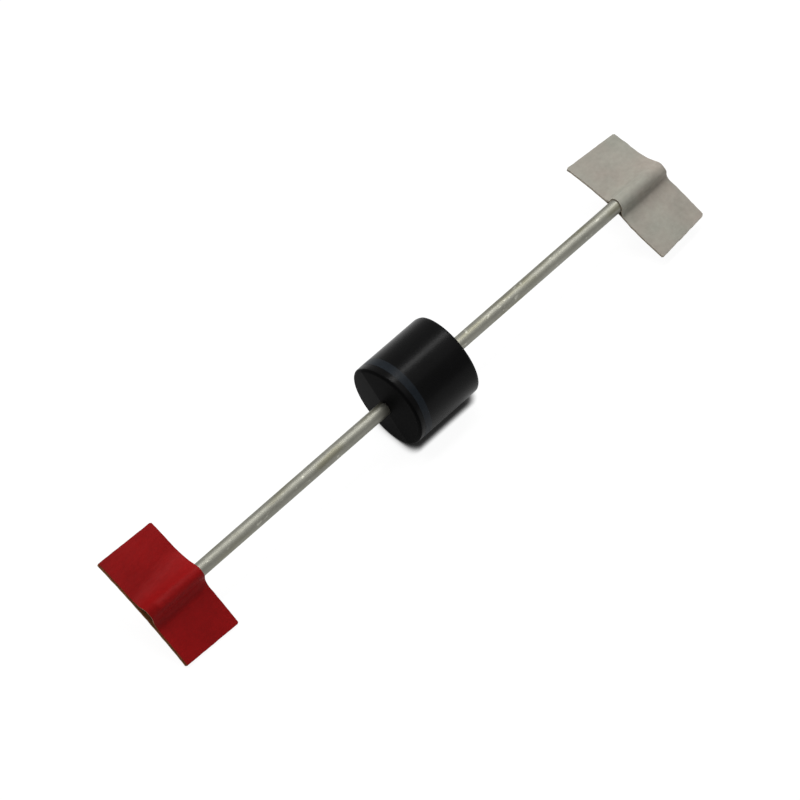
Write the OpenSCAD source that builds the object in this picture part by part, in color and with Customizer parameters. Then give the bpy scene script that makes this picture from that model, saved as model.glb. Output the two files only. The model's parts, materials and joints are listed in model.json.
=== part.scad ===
// Axial transient suppressor diode, cut from its reel with both carrier tape flags still on the leads.
// X runs along the leads with the cathode at -X, Z is up, and the origin is on the table under the case.

/* [Moulded case] */
// Diameter of the moulded case
body_d = 8.1; // [7:0.05:9.5]
// Length of the moulded case, which is greatest at its parting line
body_l = 7.8; // [6.5:0.05:10]
// Draft of the end faces, which lean back from the parting line
end_draft = 4; // [1:0.5:6]
// Turn of the parting plane about the leads, from level
parting_turn = 51.5; // [0:0.5:180]
// Width of the bevel round both ends, at the parting line
edge_bevel = 0.3; // [0.1:0.01:0.5]

/* [Polarity band] */
// Distance from the cathode end of the case, at the parting line, to the band
band_gap = 0.75; // [0.55:0.05:1.5]
// Width of the band along the case
band_w = 0.85; // [0.4:0.05:1.6]
// Depth of the band's ink, which lies flush with the case
band_depth = 0.03; // [0.02:0.005:0.1]

/* [Leads] */
// Diameter of the lead wire
lead_d = 1.3; // [0.9:0.05:1.6]
// Distance from each tape's outer edge in to the cut lead end
lead_recess = 0.95; // [0.3:0.05:3]
// Bevel left by the cutter round each lead end
lead_bevel = 0.12; // [0.04:0.01:0.25]
// Diameter of the flat head upset on the inner end of each lead
head_d = 4.8; // [4:0.1:5.4]
// Thickness of the flat head
head_t = 0.8; // [0.5:0.05:1.2]
// Radius between the flat head and the wire
head_fillet = 0.4; // [0.1:0.05:0.8]

/* [Junction] */
// Side of the square silicon chip
die_side = 4; // [3:0.1:4.4]
// Thickness of the silicon chip
die_t = 0.3; // [0.2:0.02:0.5]
// Thickness of each solder layer
solder_t = 0.06; // [0.03:0.01:0.12]
// Outer diameter of the coating bead round the chip
coat_d = 6.4; // [6:0.1:6.8]

/* [Carrier tape] */
// Clear distance between the two tapes
tape_gap = 52.1; // [48:0.1:56]
// Thickness of one layer of tape
paper_t = 0.13; // [0.08:0.01:0.25]
// Depth of the fold lines on both sides of each radius
tape_crease = 0.005; // [0.002:0.001:0.02]

/* [Cathode flag] */
// Width of the tape along the lead
cathode_tape_w = 5.75; // [5:0.05:7]
// Radius at which the upper layer leaves the lead on the lowered wing, where it is pressed down
cathode_low_fillet = 1.2; // [0.4:0.05:2]
// Radius at which the upper layer leaves the lead on the raised wing, where it stands off like a tent
cathode_high_fillet = 2.2; // [1:0.1:3.5]
// Reach of the raised wing from the lead's axis
cathode_high_wing = 5.75; // [4.8:0.05:7]
// Reach of the lowered wing, which touches the table
cathode_low_wing = 5.5; // [4.8:0.05:7]
// Sag of the wings over the length of the raised one
cathode_sag = 0.42; // [0.2:0.01:1]

/* [Anode flag] */
// Width of the tape along the lead
anode_tape_w = 6; // [5:0.05:7]
// Radius at which the upper layer leaves the lead on the lowered wing, where it is pressed down
anode_low_fillet = 0.75; // [0.4:0.05:2]
// Radius at which the upper layer leaves the lead on the raised wing, where it stands off like a tent
anode_high_fillet = 2.8; // [1:0.1:3.5]
// Reach of the raised wing at the flag's inner edge
anode_high_wing = 6; // [4.8:0.05:7]
// Reach of the lowered wing at the flag's inner edge
anode_low_wing = 6.1; // [4.8:0.05:7]
// How much shorter both wings are at the flag's outer edge
anode_cut_slant = 0.4; // [0:0.05:1]
// Sag of the wings over the length of the raised one
anode_sag = 0.6; // [0.2:0.01:1]
// Height of the lowered wing's corner above the table
anode_lift = 0.95; // [0.2:0.05:1.8]

/* [Hidden] */
$fn = 360;

// The sign of X that each end lies on
CATHODE = -1;
ANODE = 1;

body_r = body_d / 2;
lead_r = lead_d / 2;
axis_z = body_r;
head_face_x = die_t / 2 + solder_t;
tape_inner_x = tape_gap / 2;
// Height of a cutter that reaches past a whole flag
cut_h = body_d;

// Flag geometry, in a section across the lead: u runs across it and v is the tape's normal there.

// Radius of a wing's top face, from its sag over a given reach
function wing_radius(reach, sag) = (reach * reach + sag * sag) / (2 * sag);

// Height v of the lower layer's underside at the reach u
function underside_v(u, wing_r) = sqrt(pow(wing_r - paper_t, 2) - u * u) - wing_r - lead_r;

// Turn of a flag about the lead that puts the corner of its low wing at a height above the table
function flag_turn(low_wing, wing_r, height) =
  let (corner_v = -underside_v(low_wing, wing_r))
  asin((axis_z - height) / norm([low_wing, corner_v])) - atan2(corner_v, low_wing);

// Centre of the fillet that is tangent to the lead and to the wing
function fillet_centre(wing_r, fillet) =
  let (
    base = lead_r + wing_r,
    v = (pow(wing_r + fillet, 2) - pow(lead_r + fillet, 2) - base * base) / (2 * base)
  )
  [sqrt(pow(lead_r + fillet, 2) - v * v), v];

cathode_wing_r = wing_radius(cathode_high_wing, cathode_sag);
cathode_turn = flag_turn(cathode_low_wing, cathode_wing_r, 0);
anode_wing_r = wing_radius(anode_high_wing, anode_sag);
anode_turn = flag_turn(anode_low_wing, anode_wing_r, anode_lift);

// Places a solid drawn round the Z axis on the lead's axis, pointing towards one end
module on_axis(side) {
  translate([0, 0, axis_z]) rotate([0, side * 90, 0]) children();
}

// Outline of the case from its axis to its skin, with both ends bevelled
module body_outline() {
  half_l = body_l / 2;
  flat_r = body_r - edge_bevel;
  straight_l = half_l - edge_bevel;
  polygon([
    [0, -half_l],
    [flat_r, -half_l],
    [body_r, -straight_l],
    [body_r, straight_l],
    [flat_r, half_l],
    [0, half_l]
  ]);
}

// Space between the two drafted ends of the mould, longest at the parting plane
module mould_space() {
  half_l = body_l / 2;
  cut_l = half_l - body_d * tan(end_draft);
  rotate([90 + parting_turn, 0, 0])
    linear_extrude(2 * body_d, center = true)
      polygon([
        [-half_l, 0],
        [-cut_l, -body_d],
        [cut_l, -body_d],
        [half_l, 0],
        [cut_l, body_d],
        [-cut_l, body_d]
      ]);
}

// Section of the ink ring, in the outline's own plane
module band_outline() {
  translate([body_r - band_depth, body_l / 2 - band_gap - band_w]) square([band_depth, band_w]);
}

// Outline of one lead with its flat head, filleted neck and bevelled cut end
module lead_outline(tape_w) {
  neck_x = head_face_x + head_t;
  lead_end_x = tape_inner_x + tape_w - lead_recess;
  polygon([
    [0, head_face_x],
    [head_d / 2, head_face_x],
    [head_d / 2, neck_x],
    [lead_r, neck_x],
    [lead_r, lead_end_x - lead_bevel],
    [lead_r - lead_bevel, lead_end_x],
    [0, lead_end_x]
  ]);
  difference() {
    translate([lead_r, neck_x]) square(head_fillet);
    translate([lead_r + head_fillet, neck_x + head_fillet]) circle(head_fillet);
  }
}

// Outline of the coating bead: it fills the gap between the heads and bulges round their rims
module coat_outline() {
  translate([0, -head_face_x]) square([head_d / 2, 2 * head_face_x]);
  translate([head_d / 2, 0]) circle((coat_d - head_d) / 2);
}

// A square plate of the chip's outline, from one height to another along the axis
module die_plate(low, high) {
  translate([-die_side / 2, -die_side / 2, low]) cube([die_side, die_side, high - low]);
}

// Solder wets the chip only where the head faces it
module solder_solid() {
  intersection() {
    die_plate(die_t / 2, head_face_x);
    translate([0, 0, die_t / 2]) cylinder(d = head_d, h = solder_t);
  }
}

module moulded_body() {
  color([0.07, 0.07, 0.075])
    difference() {
      intersection() {
        on_axis(CATHODE) rotate_extrude() body_outline();
        translate([0, 0, axis_z]) mould_space();
      }
      polarity_band();
      lead(CATHODE);
      lead(ANODE);
      on_axis(ANODE) rotate_extrude() coat_outline();
    }
}

module polarity_band() {
  color([0.15, 0.17, 0.2]) on_axis(CATHODE) rotate_extrude() band_outline();
}

module lead(side) {
  tape_w = side > 0 ? anode_tape_w : cathode_tape_w;
  color([0.62, 0.61, 0.56]) on_axis(side) rotate_extrude() lead_outline(tape_w);
}

module silicon_die() {
  color([0.35, 0.36, 0.4]) on_axis(ANODE) die_plate(-die_t / 2, die_t / 2);
}

module solder(side) {
  color([0.7, 0.7, 0.72]) on_axis(side) solder_solid();
}

module junction_coating() {
  color([0.85, 0.83, 0.8])
    on_axis(ANODE)
      difference() {
        rotate_extrude()
          difference() {
            coat_outline();
            lead_outline(anode_tape_w);
            mirror([0, 1]) lead_outline(cathode_tape_w);
          }
        die_plate(-die_t / 2, die_t / 2);
        solder_solid();
        mirror([0, 0, 1]) solder_solid();
      }
}

// Everything under the face of a sheet that lies on both wings and is pressed round the lead.
// rise is the face's height over the lower layer and the lead.
module under_sheet(wing_r, low_fillet, high_fillet, rise) {
  wing_c = [0, -lead_r - wing_r];
  high_c = fillet_centre(wing_r, high_fillet);
  mirrored_c = fillet_centre(wing_r, low_fillet);
  low_c = [-mirrored_c[0], mirrored_c[1]];
  circle(lead_r + rise);
  translate(wing_c) circle(wing_r + rise);
  difference() {
    polygon([[0, 0], low_c, wing_c, high_c]);
    translate(low_c) circle(low_fillet - rise + tape_crease);
    translate(high_c) circle(high_fillet - rise + tape_crease);
  }
}

// Lower layer in section: one shallow bend that carries the lead on its crown
module lower_section(wing_r) {
  translate([0, -lead_r - wing_r])
    difference() {
      circle(wing_r);
      circle(wing_r - paper_t);
    }
}

// Upper layer in section: round the lead, filleted into both wings and lying on the lower layer
module upper_section(wing_r, low_fillet, high_fillet) {
  difference() {
    under_sheet(wing_r, low_fillet, high_fillet, paper_t);
    under_sheet(wing_r, low_fillet, high_fillet, 0);
  }
}

// Runs a layer's section along the lead, trims it to its hand-cut plan and turns it into place
module flag(side, tape_w, turn, inner_reach, outer_reach) {
  translate([side * tape_inner_x, 0, axis_z])
    rotate([turn, 0, 0])
      intersection() {
        translate([side > 0 ? 0 : -tape_w, 0, 0])
          rotate([90, 0, 90])
            linear_extrude(tape_w) children();
        linear_extrude(cut_h, center = true)
          polygon([
            [0, -inner_reach[0]],
            [side * tape_w, -outer_reach[0]],
            [side * tape_w, outer_reach[1]],
            [0, inner_reach[1]]
          ]);
      }
}

module cathode_flag() {
  reach = [cathode_low_wing, cathode_high_wing];
  color([0.52, 0.06, 0.08]) flag(CATHODE, cathode_tape_w, cathode_turn, reach, reach) children();
}

module anode_flag() {
  inner_reach = [anode_low_wing, anode_high_wing];
  outer_reach = [anode_low_wing - anode_cut_slant, anode_high_wing - anode_cut_slant];
  color([0.66, 0.64, 0.6]) flag(ANODE, anode_tape_w, anode_turn, inner_reach, outer_reach) children();
}

module cathode_tape_lower() {
  cathode_flag() lower_section(cathode_wing_r);
}

module cathode_tape_upper() {
  cathode_flag() upper_section(cathode_wing_r, cathode_low_fillet, cathode_high_fillet);
}

module anode_tape_lower() {
  anode_flag() lower_section(anode_wing_r);
}

module anode_tape_upper() {
  anode_flag() upper_section(anode_wing_r, anode_low_fillet, anode_high_fillet);
}

moulded_body();
polarity_band();
lead(CATHODE);  // cathode_lead
lead(ANODE);  // anode_lead
silicon_die();
solder(CATHODE);  // cathode_solder
solder(ANODE);  // anode_solder
junction_coating();
cathode_tape_lower();
cathode_tape_upper();
anode_tape_lower();
anode_tape_upper();
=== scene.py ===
# Visual model of an axial transient suppressor diode, cut from its reel with both tape flags on the leads.
# Everything is in metres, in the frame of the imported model: X along the leads, Z up from the table.

import json
import math

import bmesh
import bpy
from bpy.props import FloatProperty, FloatVectorProperty, PointerProperty
from mathutils import Matrix, Vector, noise

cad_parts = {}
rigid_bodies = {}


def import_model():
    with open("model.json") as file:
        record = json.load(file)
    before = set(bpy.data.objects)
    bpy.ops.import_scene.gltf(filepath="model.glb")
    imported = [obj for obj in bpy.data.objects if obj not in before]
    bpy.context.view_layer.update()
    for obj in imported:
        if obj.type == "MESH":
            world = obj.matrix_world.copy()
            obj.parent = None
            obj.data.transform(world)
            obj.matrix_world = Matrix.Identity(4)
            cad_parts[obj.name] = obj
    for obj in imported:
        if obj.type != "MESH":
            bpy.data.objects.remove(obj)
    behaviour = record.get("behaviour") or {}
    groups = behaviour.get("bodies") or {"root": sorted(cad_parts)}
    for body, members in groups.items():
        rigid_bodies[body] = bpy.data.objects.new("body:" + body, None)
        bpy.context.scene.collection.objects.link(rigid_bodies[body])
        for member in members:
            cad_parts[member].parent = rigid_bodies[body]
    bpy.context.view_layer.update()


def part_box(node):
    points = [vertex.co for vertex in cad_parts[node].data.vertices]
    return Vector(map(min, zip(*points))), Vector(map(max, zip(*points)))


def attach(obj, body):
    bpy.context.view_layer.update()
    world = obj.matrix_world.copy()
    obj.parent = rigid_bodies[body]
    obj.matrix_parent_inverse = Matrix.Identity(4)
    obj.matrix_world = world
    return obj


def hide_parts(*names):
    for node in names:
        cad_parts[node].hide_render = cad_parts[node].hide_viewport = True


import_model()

bl_info = {
    "name": "Axial suppressor diode",
    "version": (1, 0, 0),
    "blender": (4, 5, 0),
    "location": "View3D > Sidebar > Diode",
    "description": "Builds a moulded axial diode with tinned leads and paper carrier tape flags",
    "category": "Add Mesh",
}

MM = 0.001
CATHODE = -1
ANODE = 1
AXIS_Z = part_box("moulded_body")[1][2] / 2
CASE_R = AXIS_Z

# How finely the meshes are cut
CASE_STEPS = 192
LEAD_STEPS = 64
RIM_STEPS = 8
FILLET_STEPS = 8
BEAD_STEPS = 24
FLOOR_STEPS = 64
TAPE_ROWS = 40
WING_CUTS = 36
FILLET_CUTS = 10
CREST_CUTS = 20
SECTION_CUTS = 2 * WING_CUTS + 2 * FILLET_CUTS + CREST_CUTS

# Points this close together are one, and a point this close to a face or plane lies on it
MERGE = 1e-8
TOUCH = 1e-7

# Edges bent by more than this are shaded as sharp
CASE_SHARP = math.radians(35.0)
WIRE_SHARP = math.radians(30.0)
PAPER_SHARP = math.radians(50.0)
FLOOR_SHARP = math.radians(30.0)

# Finishes of the case, by slot; a face that looks this much along the leads belongs to an end
SKIN = 0
ENDS = 1
END_FACING = 0.3

# Unevenness of the printed band's two edges
BAND_WAVE = 0.07 * MM
BAND_NEAR_PHASE = math.radians(230.0)
BAND_FAR_PHASE = math.radians(170.0)
BAND_WANDER = 0.03 * MM
BAND_WANDER_PITCH = 2.2

# Finishes of a tape, by slot, and the two faint tints that drift over each paper
PAPER = 0
GUM = 1
CORE = 2
RED_TINTS = ((1.0, 0.95, 0.95), (0.94, 1.0, 1.0))
PALE_TINTS = ((1.0, 0.955, 0.94), (0.93, 0.97, 0.95))

# Unevenness of the paper: ripples that start some way from the lead, and cut edges
RIPPLE_START = 2.6 * MM
RIPPLE_RAMP = 2.2 * MM
RIPPLE_ALONG = 0.35
RIPPLE_ACROSS = 0.3
FRAY_PITCH = 1.6
FRAY_PLANE = 3.1
LOW_END_SEED = 1.0
HIGH_END_SEED = 2.0
INNER_EDGE_SEED = 5.0
OUTER_EDGE_SEED = 6.0

# Inputs and output of the Mix node for each kind of data, since their names repeat
MIX_FACTOR = 0
MIX_SOCKETS = {"FLOAT": (2, 3, 0), "RGBA": (6, 7, 2)}

# Lamps, each with its place and its two sides
STRIP_AT = (0.2445, 0.086, 0.553)
STRIP_SIZE = (0.5, 0.09)
PANEL_AT = (0.25, -0.2, 0.52)
PANEL_SIZE = (0.5, 0.3)
SOFT_AT = (-0.066, 0.33, 0.57)
SOFT_SIZE = (0.4, 0.3)

# Floor and room
WHITE = (1.0, 1.0, 1.0, 1.0)
FLOOR_R = 3.0
PATCH_R = 2.0 * CASE_R
FLOOR_COLOUR = (0.8, 0.8, 0.8, 1.0)
FLOOR_LIT = (0.1, 0.1, 0.1, 1.0)
FLOOR_GLOW = 0.94
SHADOW_LEAN = (-0.5, 0.45, 0.74)
SHADOW_SPAN = (0.52, 0.94)
SHADOW_SHADES = (0.01, 1.0)
SHADOW_SAMPLES = 32
MIRRORED_REACH = 5.0
MIRRORED_SPAN = (0.3, 0.9)
MIRRORED_SHADES = (0.1, 1.0)
MIRRORED_SAMPLES = 8
ROOM_SPAN = (-0.9, 0.8)

# Camera
SENSOR_WIDTH = 36.0
CLIP_START = 0.01
CLIP_END = 20.0


# Property helpers

def number(name, description, default, **limits):
    return FloatProperty(name=name, description=description, default=default, **limits)


def length(name, description, default):
    return number(name, description, default, min=0.0, unit="LENGTH", precision=5)


def offset(name, description, default):
    return number(name, description, default, unit="LENGTH", precision=5)


def angle(name, description, degrees):
    return number(name, description, math.radians(degrees), subtype="ANGLE")


def power(name, description, default):
    return number(name, description, default, min=0.0, unit="POWER")


def factor(name, description, default):
    return number(name, description, default, min=0.0, max=1.0, subtype="FACTOR")


def colour(name, description, default):
    return FloatVectorProperty(
        name=name,
        description=description,
        default=default,
        size=3,
        min=0.0,
        max=1.0,
        subtype="COLOR",
    )


def place(name, description, default):
    return FloatVectorProperty(
        name=name,
        description=description,
        default=default,
        size=3,
        subtype="TRANSLATION",
        unit="LENGTH",
    )


class CaseSettings(bpy.types.PropertyGroup):
    length: length("Length", "Length of the case at its parting line", 7.8 * MM)
    draft: angle("End draft", "Lean of the end faces away from the parting line", 4.0)
    parting_turn: angle("Parting turn", "Turn of the parting plane about the leads, from level", 51.5)
    rim: length("Rim radius", "Radius of the moulded rim round both ends", 0.3 * MM)
    colour: colour("Epoxy colour", "Colour of the moulded epoxy", (0.0031, 0.0031, 0.0032))
    band_near: offset("Band near edge", "Mean place of the band's edge on the cathode side", -3.0 * MM)
    band_far: offset("Band far edge", "Mean place of the band's other edge", -2.245 * MM)
    band_film: length("Band film", "Thickness of the printed ink", 0.006 * MM)
    band_colour: colour("Band colour", "Colour of the printed ink", (0.009, 0.0119, 0.0156))


class LeadSettings(bpy.types.PropertyGroup):
    diameter: length("Diameter", "Diameter of the lead wire", 1.3 * MM)
    recess: length("Recess", "Distance from a tape's outer edge in to the cut lead end", 0.95 * MM)
    bevel: length("End bevel", "Bevel left by the cutter round each lead end", 0.12 * MM)
    head_d: length("Head diameter", "Diameter of the flat head inside the case", 4.8 * MM)
    head_t: length("Head thickness", "Thickness of the flat head", 0.8 * MM)
    head_fillet: length("Head fillet", "Radius between the head and the wire", 0.4 * MM)
    head_face: length("Head face", "Distance of the head's face from the middle of the case", 0.21 * MM)
    bead_d: length("Bead diameter", "Diameter of the coating bead inside the case", 6.4 * MM)
    colour: colour("Tin colour", "Colour of the tin plate", (0.25, 0.247, 0.212))
    stain: colour("Stain colour", "Colour of the tin's olive stains", (0.2, 0.192, 0.138))


class TapeSettings(bpy.types.PropertyGroup):
    inner_x: length("Inner edge", "Distance of the inner edge from the middle of the case", 26.05 * MM)
    width: length("Width", "Width of the tape along the lead", 6.0 * MM)
    paper: length("Paper", "Thickness of one layer", 0.13 * MM)
    low_wing: length("Low wing", "Reach of the lowered wing at the inner edge", 5.5 * MM)
    high_wing: length("High wing", "Reach of the raised wing at the inner edge", 5.95 * MM)
    low_slant: offset("Low slant", "How much shorter the lowered wing is at the outer edge", 0.0)
    high_slant: offset("High slant", "How much shorter the raised wing is at the outer edge", 0.0)
    bow: length("Bow", "Bulge of the lowered wing's inner edge", 0.0)
    skew: angle("Skew", "Turn of the tape's edges against the lead", 0.0)
    sag: length("Sag", "Sag of the wings over the length of the raised one", 0.45 * MM)
    lift: length("Lift", "Height of the lowered wing's corner above the table", 0.0)
    inner_low: length("Inner low fillet", "Radius beside the lead, low side, inner edge", 0.6 * MM)
    outer_low: length("Outer low fillet", "Radius beside the lead, low side, outer edge", 0.6 * MM)
    inner_high: length("Inner high fillet", "Radius beside the lead, high side, inner edge", 2.2 * MM)
    outer_high: length("Outer high fillet", "Radius beside the lead, high side, outer edge", 2.2 * MM)
    proud: length("Proud", "How far the lower layer stands out past the upper one", 0.0)
    end_crest: factor("End crest", "Share of the crest's height left at the tape's outer edge", 1.0)
    ripple: length("Ripple", "Height of the paper's soft ripples", 0.03 * MM)
    fray: length("Fray", "Unevenness of the paper's edges", 0.02 * MM)
    corner: length("Corner", "Radius of the paper's corners", 0.1 * MM)
    colour: colour("Paper colour", "Colour of the paper's outer face", (0.4, 0.38, 0.33))
    gum_colour: colour("Gum colour", "Colour of the gummed face", (0.2, 0.15, 0.08))
    core_colour: colour("Core colour", "Colour of the paper's cut edges", (0.3, 0.27, 0.22))


class StageSettings(bpy.types.PropertyGroup):
    camera_at: place("Camera", "Place of the camera", (-0.100171, -0.119507, 0.197700))
    camera_aim: place("Aim", "Point in the middle of the picture", (-0.0024255, -0.0003882, 0.00405))
    camera_roll: angle("Roll", "Roll of the camera from upright", -8.4683)
    lens: number("Lens", "Focal length on a 36 mm sensor", 129.9, min=1.0, unit="CAMERA")
    strip_power: power("Strip power", "Power of the narrow overhead light", 1.85)
    panel_power: power("Panel power", "Power of the broad overhead light on the camera's side", 0.3)
    soft_power: power("Soft power", "Power of the soft light from behind", 2.1)
    room: factor("Room", "Strength of the room's light on the object", 0.25)
    near_room: factor("Near room", "Strength of the room as mirrored, on the camera's side", 0.43)
    far_room: factor("Far room", "Strength of the room as mirrored, on the far side", 0.6)
    contact: length("Contact", "Reach of the shadow where the case touches the floor", 1.25 * MM)


class DiodeSettings(bpy.types.PropertyGroup):
    case: PointerProperty(type=CaseSettings)
    lead: PointerProperty(type=LeadSettings)
    cathode_tape: PointerProperty(type=TapeSettings)
    anode_tape: PointerProperty(type=TapeSettings)
    stage: PointerProperty(type=StageSettings)


# The two tapes share one kind of settings, and these are the values in which each departs from its defaults
CATHODE_TAPE = {
    "inner_x": 26.1 * MM,
    "width": 5.75 * MM,
    "high_wing": 5.62 * MM,
    "low_slant": 0.18 * MM,
    "high_slant": -0.2 * MM,
    "skew": math.radians(-0.8),
    "sag": 0.4 * MM,
    "inner_low": 1.4 * MM,
    "outer_low": 1.4 * MM,
    "inner_high": 4.2 * MM,
    "outer_high": 1.6 * MM,
    "proud": 0.12 * MM,
    "end_crest": 0.68,
    "colour": (0.253, 0.0034, 0.0038),
    "gum_colour": (0.18, 0.072, 0.024),
    "core_colour": (0.21, 0.075, 0.03),
}
ANODE_TAPE = {
    "low_wing": 6.1 * MM,
    "high_wing": 6.0 * MM,
    "low_slant": 0.4 * MM,
    "high_slant": 0.4 * MM,
    "bow": 0.2 * MM,
    "skew": math.radians(1.0),
    "sag": 0.6 * MM,
    "lift": 0.95 * MM,
    "inner_low": 0.7 * MM,
    "outer_low": 0.8 * MM,
    "inner_high": 0.75 * MM,
    "outer_high": 4.6 * MM,
    "end_crest": 0.85,
    "fray": 0.035 * MM,
    "colour": (0.352, 0.332, 0.291),
    "gum_colour": (0.16, 0.125, 0.075),
    "core_colour": (0.32, 0.28, 0.22),
}


# Node helpers

def join(tree, *pairs):
    for source, target in pairs:
        tree.links.new(source, target)


def feed(tree, socket, value):
    """Link a socket to another one, or set it to a plain value."""
    if isinstance(value, bpy.types.NodeSocket):
        join(tree, (value, socket))
    else:
        socket.default_value = value


def new_material(name):
    material = bpy.data.materials.new(name)
    material.use_nodes = True
    tree = material.node_tree
    shader = tree.nodes["Principled BSDF"]
    return material, tree, shader


def object_coords(tree):
    return tree.nodes.new("ShaderNodeTexCoord").outputs["Object"]


def stretched(tree, scale):
    """Object coordinates with a scale of their own for each axis."""
    node = tree.nodes.new("ShaderNodeMapping")
    node.inputs["Scale"].default_value = scale
    join(tree, (object_coords(tree), node.inputs["Vector"]))
    return node.outputs["Vector"]


def noise_at(tree, vector, scale=1.0, detail=4.0, roughness=0.55, distortion=0.0):
    node = tree.nodes.new("ShaderNodeTexNoise")
    node.inputs["Detail"].default_value = detail
    node.inputs["Roughness"].default_value = roughness
    node.inputs["Distortion"].default_value = distortion
    feed(tree, node.inputs["Scale"], scale)
    join(tree, (vector, node.inputs["Vector"]))
    return node.outputs["Fac"]


def remap(tree, value, span, target, smooth=False):
    """Stretch one span of a value to another, and hold it at the ends."""
    node = tree.nodes.new("ShaderNodeMapRange")
    node.interpolation_type = "SMOOTHSTEP" if smooth else "LINEAR"
    for socket, limit in zip(("From Min", "From Max", "To Min", "To Max"), (*span, *target)):
        node.inputs[socket].default_value = limit
    join(tree, (value, node.inputs["Value"]))
    return node.outputs["Result"]


def blend(tree, mask, low, high, kind="RGBA", mode="MIX"):
    """Mix two colours, or two values, by a mask; each of the three is linked or plain."""
    node = tree.nodes.new("ShaderNodeMix")
    node.data_type = kind
    node.blend_type = mode
    low_socket, high_socket, result = MIX_SOCKETS[kind]
    feed(tree, node.inputs[MIX_FACTOR], mask)
    feed(tree, node.inputs[low_socket], low)
    feed(tree, node.inputs[high_socket], high)
    return node.outputs[result]


def bump(tree, height, depth, strength=1.0, normal=None):
    node = tree.nodes.new("ShaderNodeBump")
    node.inputs["Strength"].default_value = strength
    node.inputs["Distance"].default_value = depth
    join(tree, (height, node.inputs["Height"]))
    if normal is not None:
        join(tree, (normal, node.inputs["Normal"]))
    return node.outputs["Normal"]


def rgba(rgb, gain=1.0):
    """A colour as a socket takes it, made lighter or darker by a gain."""
    return (*(min(1.0, channel * gain) for channel in rgb), 1.0)


# Shared effect: cloudy mottling at two sizes, as a mask from 0 to 1

def mottle_group():
    name = "Mottling"
    if name in bpy.data.node_groups:
        return bpy.data.node_groups[name]
    tree = bpy.data.node_groups.new(name, "ShaderNodeTree")
    tree.interface.new_socket("Vector", in_out="INPUT", socket_type="NodeSocketVector")
    for value in ("Coarse Scale", "Fine Scale", "Fine Share"):
        tree.interface.new_socket(value, in_out="INPUT", socket_type="NodeSocketFloat")
    tree.interface.new_socket("Mask", in_out="OUTPUT", socket_type="NodeSocketFloat")
    source = tree.nodes.new("NodeGroupInput").outputs
    result = tree.nodes.new("NodeGroupOutput")
    cloud = noise_at(tree, source["Vector"], source["Coarse Scale"], detail=3.0, roughness=0.5)
    grain = noise_at(tree, source["Vector"], source["Fine Scale"], detail=4.0, roughness=0.5)
    mixed = blend(tree, source["Fine Share"], cloud, grain, kind="FLOAT")
    join(tree, (remap(tree, mixed, (0.3, 0.7), (0.0, 1.0)), result.inputs["Mask"]))
    return tree


def mottle(tree, vector, coarse, fine, share):
    node = tree.nodes.new("ShaderNodeGroup")
    node.node_tree = mottle_group()
    node.inputs["Coarse Scale"].default_value = coarse
    node.inputs["Fine Scale"].default_value = fine
    node.inputs["Fine Share"].default_value = share
    join(tree, (vector, node.inputs["Vector"]))
    return node.outputs["Mask"]


# Finishes

def moulded_epoxy(name, rgb, rough, specular):
    """Black epoxy with a faint cloud and the fine pits of the mould."""
    material, tree, shader = new_material(name)
    vector = object_coords(tree)
    cloud = mottle(tree, vector, coarse=350.0, fine=2600.0, share=0.35)
    pits = noise_at(tree, vector, scale=2600.0, detail=3.0)
    shade = blend(tree, cloud, rgba(rgb, gain=0.8), rgba(rgb, gain=1.25))
    join(
        tree,
        (shade, shader.inputs["Base Color"]),
        (remap(tree, cloud, (0.0, 1.0), (rough - 0.02, rough + 0.03)), shader.inputs["Roughness"]),
        (bump(tree, pits, depth=0.001 * MM, strength=0.5), shader.inputs["Normal"]),
    )
    shader.inputs["Specular IOR Level"].default_value = specular
    return material


def tinned_wire(settings):
    """Drawn wire under a tin plate: grooves along it, olive stains and small bright nicks."""
    material, tree, shader = new_material("tinned wire")
    cloud = mottle(tree, object_coords(tree), coarse=260.0, fine=1500.0, share=0.45)
    streaks = noise_at(tree, stretched(tree, (150.0, 1500.0, 1500.0)), detail=1.0, roughness=0.4)
    stains = noise_at(tree, stretched(tree, (190.0, 1100.0, 1100.0)), detail=2.0)
    nicks = noise_at(tree, stretched(tree, (1300.0, 2600.0, 2600.0)), detail=1.0)
    stain_mask = remap(tree, stains, (0.45, 0.68), (0.0, 0.8), smooth=True)
    nick_mask = remap(tree, nicks, (0.66, 0.76), (0.0, 1.0), smooth=True)
    tin = blend(tree, cloud, rgba(settings.colour, gain=0.93), rgba(settings.colour, gain=1.16))
    tin = blend(tree, stain_mask, tin, rgba(settings.stain))
    tin = blend(tree, nick_mask, tin, rgba(settings.colour, gain=1.7))
    grooves = bump(tree, streaks, depth=0.004 * MM, strength=0.5)
    nicked = bump(tree, nicks, depth=0.002 * MM, strength=0.12, normal=grooves)
    around = tree.nodes.new("ShaderNodeTangent")
    around.direction_type = "RADIAL"
    around.axis = "X"
    join(
        tree,
        (tin, shader.inputs["Base Color"]),
        (remap(tree, streaks, (0.3, 0.7), (0.405, 0.48)), shader.inputs["Roughness"]),
        (nicked, shader.inputs["Normal"]),
        (around.outputs["Tangent"], shader.inputs["Tangent"]),
    )
    shader.inputs["Metallic"].default_value = 1.0
    shader.inputs["Anisotropic"].default_value = 0.7
    return material


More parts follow.
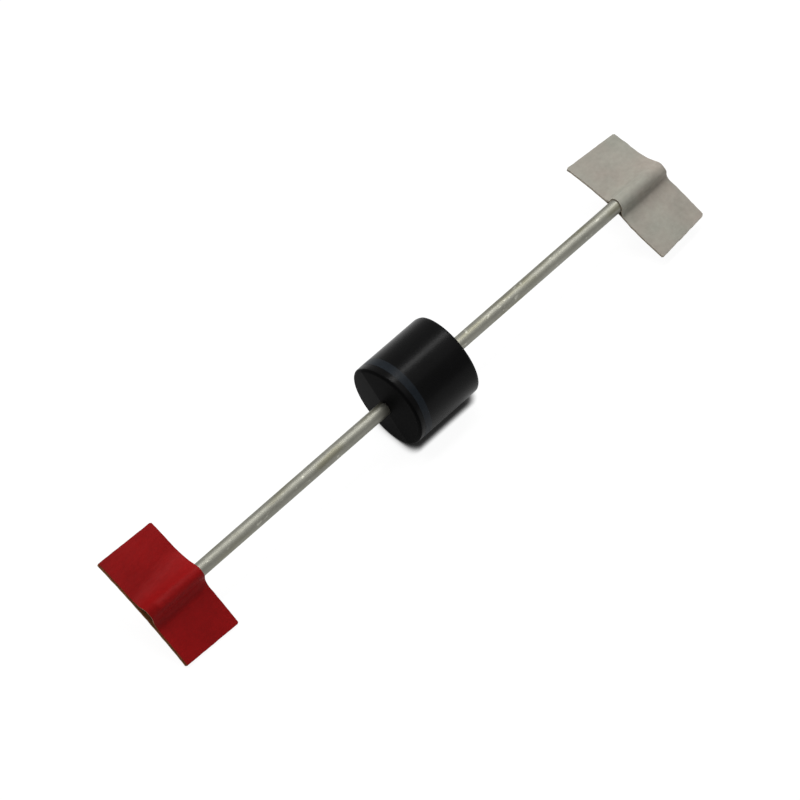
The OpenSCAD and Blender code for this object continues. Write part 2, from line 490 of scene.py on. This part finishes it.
def crepe_paper(name, rgb, tints):
    """Creped paper: a fine crinkle, a cloudy dye and two faint tints that drift over it."""
    material, tree, shader = new_material(name)
    vector = object_coords(tree)
    cloud = mottle(tree, vector, coarse=330.0, fine=2300.0, share=0.45)
    drift = noise_at(tree, vector, scale=240.0, detail=3.0)
    creases = stretched(tree, (700.0, 3600.0, 3600.0))
    crepe = noise_at(tree, creases, detail=4.0, roughness=0.6, distortion=0.3)
    tint_mask = remap(tree, drift, (0.35, 0.65), (0.0, 1.0))
    tint = blend(tree, tint_mask, rgba(tints[0]), rgba(tints[1]))
    dye = blend(tree, cloud, rgba(rgb, gain=0.84), rgba(rgb, gain=1.1))
    join(
        tree,
        (blend(tree, 1.0, dye, tint, mode="MULTIPLY"), shader.inputs["Base Color"]),
        (remap(tree, crepe, (0.3, 0.7), (0.5, 0.66)), shader.inputs["Roughness"]),
        (bump(tree, crepe, depth=0.03 * MM, strength=0.7), shader.inputs["Normal"]),
    )
    shader.inputs["Specular IOR Level"].default_value = 0.11
    return material


def mottled_finish(name, rgb, sizes, gains, rough, relief, specular=0.5, metallic=0.0):
    """A cloudy finish, in which colour, roughness and relief follow the same mottling."""
    material, tree, shader = new_material(name)
    coarse, fine, share = sizes
    depth, strength = relief
    cloud = mottle(tree, object_coords(tree), coarse, fine, share)
    shade = blend(tree, cloud, rgba(rgb, gains[0]), rgba(rgb, gains[1]))
    join(
        tree,
        (shade, shader.inputs["Base Color"]),
        (remap(tree, cloud, (0.0, 1.0), rough), shader.inputs["Roughness"]),
        (bump(tree, cloud, depth, strength), shader.inputs["Normal"]),
    )
    shader.inputs["Specular IOR Level"].default_value = specular
    shader.inputs["Metallic"].default_value = metallic
    return material


def band_ink(rgb):
    return mottled_finish(
        "band ink",
        rgb,
        sizes=(900.0, 4200.0, 0.5),
        gains=(0.75, 1.25),
        rough=(0.32, 0.45),
        relief=(0.001 * MM, 1.0),
        specular=0.08,
    )


def gummed_paper(name, rgb):
    return mottled_finish(
        name,
        rgb,
        sizes=(700.0, 3300.0, 0.5),
        gains=(0.7, 1.3),
        rough=(0.5, 0.75),
        relief=(0.02 * MM, 0.5),
        specular=0.15,
    )


def inner_finish(name, rgb, metallic, rough, grain):
    return mottled_finish(
        name,
        rgb,
        sizes=(grain, grain * 6.0, 0.4),
        gains=(0.85, 1.1),
        rough=(rough - 0.06, rough + 0.08),
        relief=(0.004 * MM, 0.5),
        metallic=metallic,
    )


# Mesh helpers

def make_object(bm, name, materials, sharp_angle, keep_sharp=()):
    """Turn a bmesh into an object at the origin, smooth but for its sharp edges."""
    bm.normal_update()
    for face in bm.faces:
        face.smooth = True
    for edge in bm.edges:
        bent = len(edge.link_faces) == 2 and edge.calc_face_angle(0.0) > sharp_angle
        edge.smooth = not (bent or edge in keep_sharp)
    mesh = bpy.data.meshes.new(name)
    bm.to_mesh(mesh)
    bm.free()
    for material in materials:
        mesh.materials.append(material)
    piece = bpy.data.objects.new(name, mesh)
    bpy.context.collection.objects.link(piece)
    return piece


def enter(piece, node):
    """Enter a piece in the frame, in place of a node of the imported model."""
    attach(piece, "root")
    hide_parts(node)


def spun(profile, steps, start, closed=True):
    """Spin a half section, given as (x, radius) points, once round the lead's axis."""
    bm = bmesh.new()
    across = Vector((0.0, math.cos(start), math.sin(start)))
    centre = Vector((0.0, 0.0, AXIS_Z))
    points = [bm.verts.new(centre + Vector((x, 0.0, 0.0)) + across * r) for x, r in profile]
    edges = [bm.edges.new(pair) for pair in zip(points, points[1:])]
    if closed:
        edges.append(bm.edges.new((points[-1], points[0])))
    bmesh.ops.spin(
        bm,
        geom=points + edges,
        cent=centre,
        axis=(1.0, 0.0, 0.0),
        angle=2.0 * math.pi,
        steps=steps,
        use_merge=True,
        use_duplicate=False,
    )
    bmesh.ops.remove_doubles(bm, verts=bm.verts, dist=MERGE)
    bmesh.ops.recalc_face_normals(bm, faces=bm.faces)
    return bm


def arc(centre, radius, start, stop, count):
    return [
        (centre[0] + radius * math.cos(start + (stop - start) * i / count),
         centre[1] + radius * math.sin(start + (stop - start) * i / count))
        for i in range(count + 1)
    ]


# Leads

def lead_end(tape, lead):
    """Distance of a cut lead end from the middle of the case."""
    return tape.inner_x + tape.width - lead.recess


def neck_fillet(lead, start, stop):
    """Arc between a lead's head and its wire."""
    centre = (lead.head_face + lead.head_t + lead.head_fillet, lead.diameter / 2 + lead.head_fillet)
    return arc(centre, lead.head_fillet, start, stop, FILLET_STEPS)


def lead_profile(lead, end_x):
    r = lead.diameter / 2
    return [
        (lead.head_face, 0.0),
        (lead.head_face, lead.head_d / 2),
        (lead.head_face + lead.head_t, lead.head_d / 2),
        *neck_fillet(lead, math.pi, 1.5 * math.pi),
        (end_x - lead.bevel, r),
        (end_x, r - lead.bevel),
        (end_x, 0.0),
    ]


# Case and band

def case_outline(case, lead):
    """Half section of the case: its skin, its two ends, and the hollow round what it holds."""
    half = case.length / 2
    neck = lead.head_face + lead.head_t
    head_r = lead.head_d / 2
    bead_r = (lead.bead_d - lead.head_d) / 2
    right = [
        (half - 2 * case.rim, CASE_R),
        (half, CASE_R),
        (half, lead.diameter / 2),
        *neck_fillet(lead, 1.5 * math.pi, math.pi),
        (neck, head_r),
    ]
    left = [(-x, radius) for x, radius in reversed(right)]
    bead = arc((0.0, head_r), bead_r, 0.0, math.pi, BEAD_STEPS)
    return right + [point for point in bead if abs(point[0]) < neck] + left


def off_parting_plane(co, turn):
    """Distance of a point from the parting plane."""
    return (co.z - AXIS_Z) * math.cos(turn) - co.y * math.sin(turn)


def case_mesh(case, lead):
    """The moulded case, and the edges of the ridge that the parting line leaves across its ends."""
    half = case.length / 2
    turn = case.parting_turn
    bm = spun(case_outline(case, lead), CASE_STEPS, turn)

    def on_rim(v):
        return abs(v.co.x) > half - TOUCH and math.hypot(v.co.y, v.co.z - AXIS_Z) > CASE_R - TOUCH

    def on_ridge(v):
        return abs(v.co.x) > half - TOUCH and abs(off_parting_plane(v.co, turn)) < TOUCH

    bmesh.ops.bevel(
        bm,
        geom=[edge for edge in bm.edges if all(on_rim(v) for v in edge.verts)],
        offset=case.rim,
        offset_type="OFFSET",
        segments=RIM_STEPS,
        profile=0.5,
        affect="EDGES",
        material=-1,
    )
    lean = math.tan(case.draft)
    for v in bm.verts:
        if abs(v.co.x) > half - case.rim - TOUCH:
            v.co.x -= math.copysign(abs(off_parting_plane(v.co, turn)) * lean, v.co.x)
    bm.normal_update()
    for face in bm.faces:
        face.material_index = ENDS if abs(face.normal.x) > END_FACING else SKIN
    ridge = {edge for edge in bm.edges if all(on_ridge(v) for v in edge.verts)}
    return bm, ridge


def band_edge(case, co):
    """Uneven edge of the printed band, from where it lies round the case."""
    around = math.atan2(co.z - AXIS_Z, co.y)
    ring = (math.cos(around) * BAND_WANDER_PITCH, math.sin(around) * BAND_WANDER_PITCH)
    wander = BAND_WANDER * noise.noise(Vector((*ring, co.x / MM)))
    if co.x < (case.band_near + case.band_far) / 2:
        return case.band_near + BAND_WAVE * math.cos(2 * around - BAND_NEAR_PHASE) + wander
    return case.band_far + BAND_WAVE * math.cos(2 * around - BAND_FAR_PHASE) + wander


def band_mesh(case):
    film = CASE_R + case.band_film
    section = [
        (case.band_near, CASE_R),
        (case.band_near, film),
        (case.band_far, film),
        (case.band_far, CASE_R),
    ]
    bm = spun(section, CASE_STEPS, case.parting_turn)
    for v in bm.verts:
        v.co.x = band_edge(case, v.co)
    return bm


# Tapes, in a section across the lead: u runs across it and v is the tape's normal there

def wing_radius(tape):
    return (tape.high_wing ** 2 + tape.sag ** 2) / (2 * tape.sag)


def flag_turn(tape, lead_r):
    """Turn of the flag about the lead that brings its lowered corner down to its lift."""
    wing = wing_radius(tape)
    corner = wing + lead_r - math.sqrt((wing - tape.paper) ** 2 - tape.low_wing ** 2)
    drop = AXIS_Z - tape.lift
    return math.asin(drop / math.hypot(tape.low_wing, corner)) - math.atan2(corner, tape.low_wing)


def fillet_centre(lead_r, wing, fillet):
    base = lead_r + wing
    v = ((wing + fillet) ** 2 - (lead_r + fillet) ** 2 - base * base) / (2 * base)
    return math.sqrt((lead_r + fillet) ** 2 - v * v), v


def wing_height(lead_r, wing, rise, u):
    """Height of the wings' shallow bend, which touches the lead from below, raised by rise."""
    return math.sqrt((wing + rise) ** 2 - u * u) - wing - lead_r


def wing_points(lead_r, wing, rise, start, stop, cuts):
    points = []
    for i in range(cuts + 1):
        u = start + (stop - start) * i / cuts
        points.append((u, wing_height(lead_r, wing, rise, u)))
    return points


def upper_section(tape, lead_r, fillets, rise, reach, crest_share):
    """Section of the pressed upper layer, from the low wing's end to the high wing's end."""
    wing = wing_radius(tape)
    base = lead_r + wing
    sides = []
    for hand, fillet in zip((-1, 1), fillets):
        cu, cv = fillet_centre(lead_r, wing, fillet)
        stretch = (wing + rise) / math.hypot(cu, cv + base)
        on_wing = (cu * stretch, (cv + base) * stretch - base)
        squeeze = (lead_r + rise) / math.hypot(cu, cv)
        on_lead = (cu * squeeze, cv * squeeze)
        start = math.atan2(on_wing[1] - cv, on_wing[0] - cu)
        stop = math.atan2(on_lead[1] - cv, on_lead[0] - cu)
        if stop > start:
            stop -= 2 * math.pi
        curve = [(hand * u, v) for u, v in arc((cu, cv), fillet - rise, start, stop, FILLET_CUTS)]
        crest_angle = math.atan2(on_lead[1], hand * on_lead[0]) % (2 * math.pi)
        sides.append((hand * on_wing[0], curve, crest_angle))
    (low_u, low_curve, low_angle), (high_u, high_curve, high_angle) = sides
    crest = arc((0.0, 0.0), lead_r + rise, low_angle, high_angle, CREST_CUTS)
    low_wing = wing_points(lead_r, wing, rise, -reach[0], low_u, WING_CUTS)
    high_wing = wing_points(lead_r, wing, rise, high_u, reach[1], WING_CUTS)
    full = low_wing[:-1] + low_curve[:-1] + crest[:-1] + high_curve[::-1][:-1] + high_wing
    section = []
    for u, v in full:
        flat = wing_height(lead_r, wing, rise, u)
        section.append((u, flat + crest_share * (v - flat)))
    return section


def ripple(tape, x, u):
    """Height of the paper's soft ripples, which die out towards the lead."""
    far = max(0.0, min(1.0, (abs(u) - RIPPLE_START) / RIPPLE_RAMP))
    calm = far * far * (3 - 2 * far)
    at = Vector((x / MM * RIPPLE_ALONG, u / MM * RIPPLE_ACROSS, tape.width / MM))
    return calm * tape.ripple * noise.noise(at)


def edge_cut(tape, span, seed):
    """Small unevenness of a cut edge at a distance along it."""
    return tape.fray * noise.noise(Vector((span / MM * FRAY_PITCH, seed, FRAY_PLANE)))


def bowed(tape, u):
    """Bulge of the inner edge along the lowered wing."""
    return tape.bow * math.sin(math.pi * min(1.0, max(0.0, -u / tape.low_wing)))


def corner_cut(tape, from_edge):
    """How far a rounded corner shortens a wing at a distance from the tape's edge."""
    if from_edge >= tape.corner:
        return 0.0
    inside = tape.corner - from_edge
    return tape.corner - math.sqrt(tape.corner ** 2 - inside ** 2)


def tape_section(tape, lead, layer, rise, t, width):
    """Section of a layer at a share t of its width, raised by rise."""
    lead_r = lead.diameter / 2
    along = t * width
    rounding = corner_cut(tape, min(along, width - along))
    reach = (
        tape.low_wing - tape.low_slant * t - rounding + edge_cut(tape, along, LOW_END_SEED),
        tape.high_wing - tape.high_slant * t - rounding + edge_cut(tape, along, HIGH_END_SEED),
    )
    if layer == "lower":
        return wing_points(lead_r, wing_radius(tape), rise, -reach[0], reach[1], SECTION_CUTS)
    fillets = (
        tape.inner_low + (tape.outer_low - tape.inner_low) * t,
        tape.inner_high + (tape.outer_high - tape.inner_high) * t,
    )
    end_x = lead_end(tape, lead)
    past = max(0.0, tape.inner_x + along - end_x) / (tape.inner_x + tape.width - end_x)
    crest_share = 1.0 - (1.0 - tape.end_crest) * past
    return upper_section(tape, lead_r, fillets, rise, reach, crest_share)


def tape_face(tape, lead, side, layer, rise):
    """Rows of points on one face of a layer, in their places on the object."""
    width = tape.width + (tape.proud if layer == "lower" else 0.0)
    flag = Matrix.Rotation(flag_turn(tape, lead.diameter / 2), 4, "X")
    turn = Matrix.Translation((0.0, 0.0, AXIS_Z)) @ flag
    rows = []
    for row in range(TAPE_ROWS + 1):
        t = row / TAPE_ROWS
        along = t * width
        line = []
        for u, v in tape_section(tape, lead, layer, rise, t, width):
            inner = edge_cut(tape, u, INNER_EDGE_SEED) - bowed(tape, u)
            outer = edge_cut(tape, u, OUTER_EDGE_SEED)
            frayed = (1 - t) * inner + t * outer
            x = side * (tape.inner_x + along + frayed) + math.tan(tape.skew) * u
            line.append(turn @ Vector((x, u, v + ripple(tape, along, u))))
        rows.append(line)
    return rows


def tape_mesh(tape, lead, side, layer):
    """One layer of tape: a grid laid on its under face and extruded to its upper one."""
    bm = bmesh.new()
    half = 0.5
    bmesh.ops.create_grid(bm, x_segments=TAPE_ROWS, y_segments=SECTION_CUTS, size=half)
    row_of = bm.verts.layers.int.new("row")
    column_of = bm.verts.layers.int.new("column")
    for v in bm.verts:
        v[row_of] = round((v.co.x + half) * TAPE_ROWS)
        v[column_of] = round((v.co.y + half) * SECTION_CUTS)
    if layer == "upper":
        under_rise, over_rise = 0.0, tape.paper
        under_finish, over_finish = GUM, PAPER
    else:
        under_rise, over_rise = -tape.paper, 0.0
        under_finish, over_finish = PAPER, GUM
    under = tape_face(tape, lead, side, layer, under_rise)
    over = tape_face(tape, lead, side, layer, over_rise)
    for v in bm.verts:
        v.co = under[v[row_of]][v[column_of]]
    under_verts = set(bm.verts)
    grown = bmesh.ops.extrude_face_region(bm, geom=bm.faces[:], use_keep_orig=True)
    for item in grown["geom"]:
        if isinstance(item, bmesh.types.BMVert):
            item.co = over[item[row_of]][item[column_of]]
    bmesh.ops.recalc_face_normals(bm, faces=bm.faces)
    for face in bm.faces:
        under_count = sum(v in under_verts for v in face.verts)
        if under_count == len(face.verts):
            face.material_index = under_finish
        elif under_count == 0:
            face.material_index = over_finish
        else:
            face.material_index = CORE
    return bm


class DIODE_OT_case(bpy.types.Operator):
    """Moulded case with drafted ends, and the printed polarity band round it"""
    bl_idname = "diode.case"
    bl_label = "Case and band"

    def execute(self, context):
        settings = context.scene.diode
        rgb = settings.case.colour
        finishes = [
            moulded_epoxy("moulded epoxy", rgb, rough=0.27, specular=0.068),
            moulded_epoxy("moulded epoxy ends", rgb, rough=0.5, specular=0.016),
        ]
        bm, ridge = case_mesh(settings.case, settings.lead)
        case = make_object(bm, "case", finishes, CASE_SHARP, ridge)
        enter(case, "moulded_body")
        ink = band_ink(settings.case.band_colour)
        band = make_object(band_mesh(settings.case), "band", [ink], CASE_SHARP)
        enter(band, "polarity_band")
        return {"FINISHED"}


class DIODE_OT_leads(bpy.types.Operator):
    """Two tinned wires, each with its flat head inside the case"""
    bl_idname = "diode.leads"
    bl_label = "Leads"

    def execute(self, context):
        settings = context.scene.diode
        finish = tinned_wire(settings.lead)
        for side, tape, node in (
            (CATHODE, settings.cathode_tape, "cathode_lead"),
            (ANODE, settings.anode_tape, "anode_lead"),
        ):
            half_section = lead_profile(settings.lead, lead_end(tape, settings.lead))
            bm = spun([(side * x, r) for x, r in half_section], LEAD_STEPS, 0.0, closed=False)
            wire = make_object(bm, node + "_wire", [finish], WIRE_SHARP)
            enter(wire, node)
        return {"FINISHED"}


class DIODE_OT_tapes(bpy.types.Operator):
    """Two flags of paper carrier tape, each of two layers pressed round its lead"""
    bl_idname = "diode.tapes"
    bl_label = "Carrier tapes"

    def execute(self, context):
        settings = context.scene.diode
        for side, end, tape, slot, tints in (
            (CATHODE, "cathode", settings.cathode_tape, "red_tape", RED_TINTS),
            (ANODE, "anode", settings.anode_tape, "pale_tape", PALE_TINTS),
        ):
            name = slot.replace("_", " ")
            finishes = [
                crepe_paper(name, tape.colour, tints),
                gummed_paper(name + " gum", tape.gum_colour),
                gummed_paper(name + " core", tape.core_colour),
            ]
            for layer in ("lower", "upper"):
                node = end + "_tape_" + layer
                bm = tape_mesh(tape, settings.lead, side, layer)
                enter(make_object(bm, node + "_paper", finishes, PAPER_SHARP), node)
        return {"FINISHED"}


class DIODE_OT_junction(bpy.types.Operator):
    """Finishes for the chip, solder and coating inside the case, which keep their shapes"""
    bl_idname = "diode.junction"
    bl_label = "Junction"

    def execute(self, context):
        solder = (0.5, 0.5, 0.51)
        for node, name, rgb, metallic, rough, grain in (
            ("silicon_die", "silicon", (0.12, 0.125, 0.15), 0.3, 0.2, 600.0),
            ("cathode_solder", "cathode solder", solder, 1.0, 0.4, 900.0),
            ("anode_solder", "anode solder", solder, 1.0, 0.42, 900.0),
            ("junction_coating", "silicone coating", (0.7, 0.67, 0.62), 0.0, 0.45, 500.0),
        ):
            finish = inner_finish(name, rgb, metallic, rough, grain)
            for holder in bpy.data.objects[node].material_slots:
                holder.material = finish
        return {"FINISHED"}


# Stage

def seen_rays(tree):
    """Mask of the rays by which a surface is seen: straight on, in a reflection or through glass."""
    rays = tree.nodes.new("ShaderNodeLightPath").outputs
    straight = tree.nodes.new("ShaderNodeMath")
    straight.operation = "MAXIMUM"
    seen = tree.nodes.new("ShaderNodeMath")
    seen.operation = "MAXIMUM"
    join(
        tree,
        (rays["Is Camera Ray"], straight.inputs[0]),
        (rays["Is Glossy Ray"], straight.inputs[1]),
        (straight.outputs[0], seen.inputs[0]),
        (rays["Is Transmission Ray"], seen.inputs[1]),
    )
    return seen.outputs[0]


def openness(tree, reach, samples):
    """Node for how open a surface is: 1, or less where something lies within reach of it."""
    node = tree.nodes.new("ShaderNodeAmbientOcclusion")
    node.samples = samples
    node.inputs["Distance"].default_value = reach
    return node


def contact_shadow(tree, contact):
    """Shade of the floor under the case, sharp and to one side as seen straight, faint as mirrored."""
    lean = tree.nodes.new("ShaderNodeCombineXYZ")
    for axis, value in zip("XYZ", SHADOW_LEAN):
        lean.inputs[axis].default_value = value
    close = openness(tree, contact, SHADOW_SAMPLES)
    join(tree, (lean.outputs[0], close.inputs["Normal"]))
    wide = openness(tree, MIRRORED_REACH * contact, MIRRORED_SAMPLES)
    sharp = remap(tree, close.outputs["AO"], SHADOW_SPAN, SHADOW_SHADES, smooth=True)
    faint = remap(tree, wide.outputs["AO"], MIRRORED_SPAN, MIRRORED_SHADES, smooth=True)
    rays = tree.nodes.new("ShaderNodeLightPath").outputs
    return blend(tree, rays["Is Camera Ray"], faint, sharp, kind="FLOAT")


def floor_material(name, contact):
    """White floor; where it has a contact reach, it darkens under what lies that close above it."""
    material = bpy.data.materials.new(name)
    material.use_nodes = True
    tree = material.node_tree
    tree.nodes.clear()
    plain = tree.nodes.new("ShaderNodeBsdfDiffuse")
    plain.inputs["Color"].default_value = FLOOR_COLOUR
    lit = tree.nodes.new("ShaderNodeBsdfDiffuse")
    lit.inputs["Color"].default_value = FLOOR_LIT
    glow = tree.nodes.new("ShaderNodeEmission")
    glow.inputs["Strength"].default_value = FLOOR_GLOW
    feed(tree, glow.inputs["Color"], contact_shadow(tree, contact) if contact > 0.0 else WHITE)
    white = tree.nodes.new("ShaderNodeAddShader")
    choice = tree.nodes.new("ShaderNodeMixShader")
    output = tree.nodes.new("ShaderNodeOutputMaterial")
    join(
        tree,
        (glow.outputs[0], white.inputs[0]),
        (lit.outputs[0], white.inputs[1]),
        (seen_rays(tree), choice.inputs[0]),
        (plain.outputs[0], choice.inputs[1]),
        (white.outputs[0], choice.inputs[2]),
        (choice.outputs[0], output.inputs["Surface"]),
    )
    return material


def floor_mesh(patch_r, floor_r):
    """Round floor with a small round patch of its own in the middle, under the case."""
    bm = bmesh.new()
    bmesh.ops.create_circle(bm, cap_ends=True, segments=FLOOR_STEPS, radius=patch_r)
    rim = [edge for edge in bm.edges if edge.is_boundary]
    grown = bmesh.ops.extrude_edge_only(bm, edges=rim)
    outer = [item for item in grown["geom"] if isinstance(item, bmesh.types.BMVert)]
    bmesh.ops.scale(bm, vec=(floor_r / patch_r, floor_r / patch_r, 1.0), verts=outer)
    bmesh.ops.recalc_face_normals(bm, faces=bm.faces)
    for face in bm.faces:
        face.material_index = 0 if len(face.verts) > 4 else 1
    return bm


def light_room(settings):
    """A pale room that lights the object evenly, and shows in mirrors as lighter on the far side."""
    world = bpy.data.worlds.new("room")
    bpy.context.scene.world = world
    world.use_nodes = True
    tree = world.node_tree
    tree.nodes.clear()
    coords = tree.nodes.new("ShaderNodeTexCoord")
    parts = tree.nodes.new("ShaderNodeSeparateXYZ")
    room = tree.nodes.new("ShaderNodeBackground")
    room.inputs["Color"].default_value = WHITE
    output = tree.nodes.new("ShaderNodeOutputWorld")
    shown = remap(tree, parts.outputs["Y"], ROOM_SPAN, (settings.near_room, settings.far_room))
    strength = blend(tree, seen_rays(tree), settings.room, shown, kind="FLOAT")
    join(
        tree,
        (coords.outputs["Generated"], parts.inputs["Vector"]),
        (strength, room.inputs["Strength"]),
        (room.outputs[0], output.inputs["Surface"]),
    )


def area_light(name, at, size, watts):
    """Lamp aimed at the case, with its first side along the leads."""
    lamp = bpy.data.lights.new(name, "AREA")
    lamp.shape = "RECTANGLE"
    lamp.size = size[0]
    lamp.size_y = size[1]
    lamp.energy = watts
    light = bpy.data.objects.new(name, lamp)
    bpy.context.collection.objects.link(light)
    back = (Vector(at) - Vector((0.0, 0.0, AXIS_Z))).normalized()
    along = (Vector((1.0, 0.0, 0.0)) - back * back.x).normalized()
    turn = Matrix((along, back.cross(along), back)).transposed()
    light.matrix_world = Matrix.Translation(at) @ turn.to_4x4()
    return light


def spare_wires(light):
    """Leave the bare wires out of a lamp that they don't mirror, so that it puts no grain on them."""
    wires = bpy.data.collections.new("bare wires")
    light.light_linking.receiver_collection = wires
    for obj in bpy.context.scene.objects:
        if obj.name.endswith("_wire"):
            wires.objects.link(obj)
    for entry in wires.collection_objects:
        entry.light_linking.link_state = "EXCLUDE"


def place_camera(scene, settings):
    lens = bpy.data.cameras.new("camera")
    lens.sensor_width = SENSOR_WIDTH
    lens.lens = settings.lens
    lens.clip_start = CLIP_START
    lens.clip_end = CLIP_END
    camera = bpy.data.objects.new("camera", lens)
    bpy.context.collection.objects.link(camera)
    at = Vector(settings.camera_at)
    look = (Vector(settings.camera_aim) - at).to_track_quat("-Z", "Y").to_matrix().to_4x4()
    roll = Matrix.Rotation(settings.camera_roll, 4, "Z")
    camera.matrix_world = Matrix.Translation(at) @ look @ roll
    scene.camera = camera


class DIODE_OT_stage(bpy.types.Operator):
    """White floor, soft studio light and the camera"""
    bl_idname = "diode.stage"
    bl_label = "Stage"

    def execute(self, context):
        settings = context.scene.diode.stage
        finishes = [
            floor_material("floor under the case", settings.contact),
            floor_material("floor", 0.0),
        ]
        make_object(floor_mesh(PATCH_R, FLOOR_R), "floor", finishes, FLOOR_SHARP)
        light_room(settings)
        area_light("strip light", STRIP_AT, STRIP_SIZE, settings.strip_power)
        area_light("panel light", PANEL_AT, PANEL_SIZE, settings.panel_power)
        soft = area_light("soft light", SOFT_AT, SOFT_SIZE, settings.soft_power)
        soft.visible_glossy = False
        spare_wires(soft)
        place_camera(context.scene, settings)
        context.scene.view_settings.view_transform = "Standard"
        return {"FINISHED"}


class DIODE_PT_panel(bpy.types.Panel):
    bl_idname = "DIODE_PT_panel"
    bl_label = "Axial diode"
    bl_space_type = "VIEW_3D"
    bl_region_type = "UI"
    bl_category = "Diode"

    def draw(self, context):
        settings = context.scene.diode
        for operator, groups in (
            (DIODE_OT_case, (settings.case,)),
            (DIODE_OT_leads, (settings.lead,)),
            (DIODE_OT_tapes, (settings.cathode_tape, settings.anode_tape)),
            (DIODE_OT_junction, ()),
            (DIODE_OT_stage, (settings.stage,)),
        ):
            box = self.layout.box()
            box.operator(operator.bl_idname)
            for group in groups:
                for name in group.__annotations__:
                    box.prop(group, name)


CLASSES = (
    CaseSettings,
    LeadSettings,
    TapeSettings,
    StageSettings,
    DiodeSettings,
    DIODE_OT_case,
    DIODE_OT_leads,
    DIODE_OT_tapes,
    DIODE_OT_junction,
    DIODE_OT_stage,
    DIODE_PT_panel,
)


def register():
    for cls in CLASSES:
        bpy.utils.register_class(cls)
    bpy.types.Scene.diode = PointerProperty(type=DiodeSettings)


def unregister():
    del bpy.types.Scene.diode
    for cls in reversed(CLASSES):
        bpy.utils.unregister_class(cls)


def main():
    register()
    settings = bpy.context.scene.diode
    for tape, values in ((settings.cathode_tape, CATHODE_TAPE), (settings.anode_tape, ANODE_TAPE)):
        for name, value in values.items():
            setattr(tape, name, value)
    bpy.ops.diode.case()
    bpy.ops.diode.leads()
    bpy.ops.diode.tapes()
    bpy.ops.diode.junction()
    bpy.ops.diode.stage()


if __name__ == "__main__":
    main()
